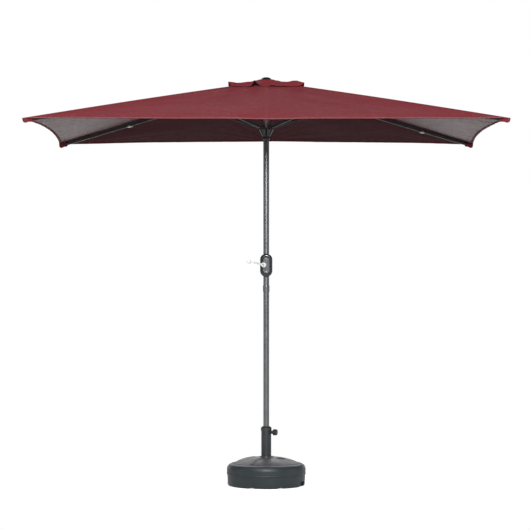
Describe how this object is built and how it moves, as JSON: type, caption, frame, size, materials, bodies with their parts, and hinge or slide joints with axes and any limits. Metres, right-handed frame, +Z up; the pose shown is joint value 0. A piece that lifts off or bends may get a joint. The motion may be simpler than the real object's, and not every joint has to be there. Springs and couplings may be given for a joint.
{
  "type": "patio umbrella with base",
  "caption": "Rectangular centre-pole patio umbrella with crank lift, hinged ribs and struts, vented cloth canopy, two-part pole and round fillable base.",
  "frame": {"origin": "on the floor, under the pole's axis, at the middle of the base", "axes": "+X along the canopy's long side, -Y to the crank's side, +Z up"},
  "size_m": [2.9008, 1.9562, 2.64],
  "materials": {
    "base_plastic": "satin",
    "fill": "matte",
    "black_plastic": "satin",
    "stem_paint": "satin",
    "pole_paint": "satin",
    "housing_plastic": "gloss",
    "bright_steel": "polished",
    "plain_steel": "satin",
    "grip_plastic": "satin",
    "bush_plastic": "matte",
    "frame_paint": "satin",
    "clip_plastic": "matte",
    "cord": "matte",
    "canopy_cloth": "matte"
  },
  "bodies": {
    "base": {"base_shell": "base_plastic", "base_fill": "fill", "stem_tube": "stem_paint", "stem_collar": "black_plastic", "clamp_nut": "stem_paint"},
    "filler_plug": {"filler_cap": "base_plastic"},
    "clamp": {"clamp_knob": "black_plastic", "clamp_screw": "plain_steel"},
    "swivel_bush": {"stem_bush": "bush_plastic"},
    "lower_mast": {"lower_pole": "pole_paint", "pole_foot_plug": "black_plastic", "pole_coupling": "plain_steel", "joint_sleeve": "pole_paint"},
    "upper_mast": {"upper_pole": "pole_paint", "crank_housing_front": "housing_plastic", "crank_housing_back": "housing_plastic", "housing_screws": "bright_steel", "brake_spring": "plain_steel", "pulley_pin": "plain_steel", "lift_cord_inner": "cord", "lift_cord_outer": "cord", "crown_hub": "black_plastic", "crown_pins": "plain_steel", "finial": "black_plastic", "vent_cap": "canopy_cloth"},
    "crank": {"crank_shaft": "plain_steel", "cord_spool": "plain_steel", "crank_boss": "bright_steel", "crank_arm": "bright_steel", "grip_pin": "bright_steel"},
    "grip": {"crank_grip": "grip_plastic"},
    "pulley": {"top_pulley": "bush_plastic"},
    "slider": {"runner": "black_plastic"},
    "rib_right_back": {"rib_right_back": "frame_paint", "rib_tip_right_back": "black_plastic", "canopy_gore_right_back": "canopy_cloth", "tie_clip_right": "clip_plastic"},
    "strut_right_back": {"strut_right_back": "frame_paint"},
    "rib_middle_back": {"rib_middle_back": "frame_paint", "rib_tip_middle_back": "black_plastic", "canopy_gore_middle_back": "canopy_cloth"},
    "strut_middle_back": {"strut_middle_back": "frame_paint"},
    "rib_left_back": {"rib_left_back": "frame_paint", "rib_tip_left_back": "black_plastic", "canopy_gore_left_back": "canopy_cloth", "tie_clip_left": "clip_plastic"},
    "strut_left_back": {"strut_left_back": "frame_paint"},
    "rib_left_front": {"rib_left_front": "frame_paint", "rib_tip_left_front": "black_plastic", "canopy_gore_left_front": "canopy_cloth"},
    "strut_left_front": {"strut_left_front": "frame_paint"},
    "rib_middle_front": {"rib_middle_front": "frame_paint", "rib_tip_middle_front": "black_plastic", "canopy_gore_middle_front": "canopy_cloth"},
    "strut_middle_front": {"strut_middle_front": "frame_paint"},
    "rib_right_front": {"rib_right_front": "frame_paint", "rib_tip_right_front": "black_plastic", "canopy_gore_right_front": "canopy_cloth"},
    "strut_right_front": {"strut_right_front": "frame_paint"}
  },
  "joints": [
    {"name": "mast_swivel", "type": "hinge", "parent": "base", "child": "swivel_bush", "pos_m": [0, 0, 0.2], "axis": [0, 0, 1], "continuous": true},
    {"name": "mast_lift_out", "type": "slide", "parent": "swivel_bush", "child": "lower_mast", "axis": [0, 0, 1], "range_m": [0, 0.2]},
    {"name": "mast_sections", "type": "slide", "parent": "lower_mast", "child": "upper_mast", "axis": [0, 0, 1], "range_m": [0, 0.065]},
    {"name": "canopy_lift", "type": "slide", "parent": "upper_mast", "child": "slider", "axis": [0, 0, 1], "range_m": [-0.737, 0], "deforming": ["lift_cord_outer", "vent_cap", "canopy_gore_right_back", "canopy_gore_middle_back", "canopy_gore_left_back", "canopy_gore_left_front", "canopy_gore_middle_front", "canopy_gore_right_front"]},
    {"name": "crank_turn", "type": "hinge", "parent": "upper_mast", "child": "crank", "pos_m": [0, 0, 1.423], "axis": [-0.342, -0.9397, 0], "range_deg": [0, 4445]},
    {"name": "grip_spin", "type": "hinge", "parent": "crank", "child": "grip", "pos_m": [-0.11176, -0.04446, 1.44291], "axis": [-0.342, -0.9397, 0], "continuous": true},
    {"name": "pulley_turn", "type": "hinge", "parent": "upper_mast", "child": "pulley", "pos_m": [0.008, 0, 2.54], "axis": [0, 1, 0], "range_deg": [-3017, 0]},
    {"name": "clamp_turn", "type": "hinge", "parent": "base", "child": "clamp", "pos_m": [0.05638, -0.02052, 0.343], "axis": [0.9397, -0.342, 0], "range_deg": [0, 720]},
    {"name": "filler_lift", "type": "slide", "parent": "base", "child": "filler_plug", "axis": [0, 0, 1], "range_m": [0, 0.05]},
    {"name": "rib_fold_right_back", "type": "hinge", "parent": "upper_mast", "child": "rib_right_back", "pos_m": [0.02655, 0.01786, 2.585], "axis": [-0.558, 0.8298, 0], "range_deg": [0, 63.15]},
    {"name": "strut_fold_right_back", "type": "hinge", "parent": "rib_right_back", "child": "strut_right_back", "pos_m": [0.45225, 0.3041, 2.47189], "axis": [-0.558, 0.8298, 0], "range_deg": [-122, 0]},
    {"name": "rib_fold_middle_back", "type": "hinge", "parent": "upper_mast", "child": "rib_middle_back", "pos_m": [0, 0.032, 2.585], "axis": [-1, 0, 0], "range_deg": [0, 63.15]},
    {"name": "strut_fold_middle_back", "type": "hinge", "parent": "rib_middle_back", "child": "strut_middle_back", "pos_m": [0, 0.54079, 2.36486], "axis": [-1, 0, 0], "range_deg": [-146.14, 0]},
    {"name": "rib_fold_left_back", "type": "hinge", "parent": "upper_mast", "child": "rib_left_back", "pos_m": [-0.02655, 0.01786, 2.585], "axis": [-0.558, -0.8298, 0], "range_deg": [0, 63.15]},
    {"name": "strut_fold_left_back", "type": "hinge", "parent": "rib_left_back", "child": "strut_left_back", "pos_m": [-0.45225, 0.3041, 2.47189], "axis": [-0.558, -0.8298, 0], "range_deg": [-122, 0]},
    {"name": "rib_fold_left_front", "type": "hinge", "parent": "upper_mast", "child": "rib_left_front", "pos_m": [-0.02655, -0.01786, 2.585], "axis": [0.558, -0.8298, 0], "range_deg": [0, 63.15]},
    {"name": "strut_fold_left_front", "type": "hinge", "parent": "rib_left_front", "child": "strut_left_front", "pos_m": [-0.45225, -0.3041, 2.47189], "axis": [0.558, -0.8298, 0], "range_deg": [-122, 0]},
    {"name": "rib_fold_middle_front", "type": "hinge", "parent": "upper_mast", "child": "rib_middle_front", "pos_m": [0, -0.032, 2.585], "axis": [1, 0, 0], "range_deg": [0, 63.15]},
    {"name": "strut_fold_middle_front", "type": "hinge", "parent": "rib_middle_front", "child": "strut_middle_front", "pos_m": [0, -0.54079, 2.36486], "axis": [1, 0, 0], "range_deg": [-146.14, 0]},
    {"name": "rib_fold_right_front", "type": "hinge", "parent": "upper_mast", "child": "rib_right_front", "pos_m": [0.02655, -0.01786, 2.585], "axis": [0.558, 0.8298, 0], "range_deg": [0, 63.15]},
    {"name": "strut_fold_right_front", "type": "hinge", "parent": "rib_right_front", "child": "strut_right_front", "pos_m": [0.45225, -0.3041, 2.47189], "axis": [0.558, 0.8298, 0], "range_deg": [-122, 0]}
  ],
  "couplings": [
    {"joint": "crank_turn", "follows": "canopy_lift", "rad_per_m": -105.26},
    {"joint": "pulley_turn", "follows": "canopy_lift", "rad_per_m": 71.429},
    {"joint": "rib_fold_right_back", "follows": "canopy_lift", "rad_per_m": -1.495},
    {"joint": "strut_fold_right_back", "follows": "canopy_lift", "rad_per_m": 2.8878},
    {"joint": "rib_fold_middle_back", "follows": "canopy_lift", "rad_per_m": -1.495},
    {"joint": "strut_fold_middle_back", "follows": "canopy_lift", "rad_per_m": 3.4594},
    {"joint": "rib_fold_left_back", "follows": "canopy_lift", "rad_per_m": -1.495},
    {"joint": "strut_fold_left_back", "follows": "canopy_lift", "rad_per_m": 2.8878},
    {"joint": "rib_fold_left_front", "follows": "canopy_lift", "rad_per_m": -1.495},
    {"joint": "strut_fold_left_front", "follows": "canopy_lift", "rad_per_m": 2.8878},
    {"joint": "rib_fold_middle_front", "follows": "canopy_lift", "rad_per_m": -1.495},
    {"joint": "strut_fold_middle_front", "follows": "canopy_lift", "rad_per_m": 3.4594},
    {"joint": "rib_fold_right_front", "follows": "canopy_lift", "rad_per_m": -1.495},
    {"joint": "strut_fold_right_front", "follows": "canopy_lift", "rad_per_m": 2.8878}
  ]
}
